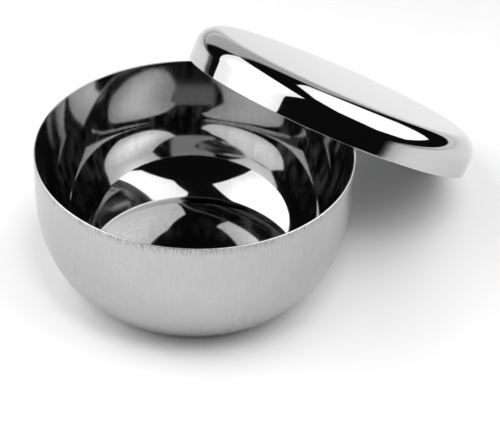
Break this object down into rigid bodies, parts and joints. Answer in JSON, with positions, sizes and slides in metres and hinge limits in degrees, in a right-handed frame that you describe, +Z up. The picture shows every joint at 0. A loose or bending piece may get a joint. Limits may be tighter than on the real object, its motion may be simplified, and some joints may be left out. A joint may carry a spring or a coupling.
{
  "type": "shaving bowl",
  "caption": "Handle-less stainless steel shaving bowl, deep-drawn in thin sheet, with a loose flat-topped pressed lid that leans across its rim.",
  "frame": {"origin": "centre of the bowl's flat base, on the surface that the bowl stands on", "axes": "+Z up along the bowl's axis; +X and +Y level, with the lid leaning between them at 47 degrees from +X"},
  "size_m": [0.1452, 0.1481, 0.0633],
  "materials": {
    "bowl_steel": "satin",
    "lid_steel": "polished"
  },
  "bodies": {
    "bowl": {"bowl": "bowl_steel"},
    "lid": {"lid": "lid_steel"}
  },
  "joints": [
    {"name": "lid_lift", "type": "slide", "parent": "bowl", "child": "lid", "axis": [0, 0, 1], "range_m": [0, 0.065]}
  ]
}
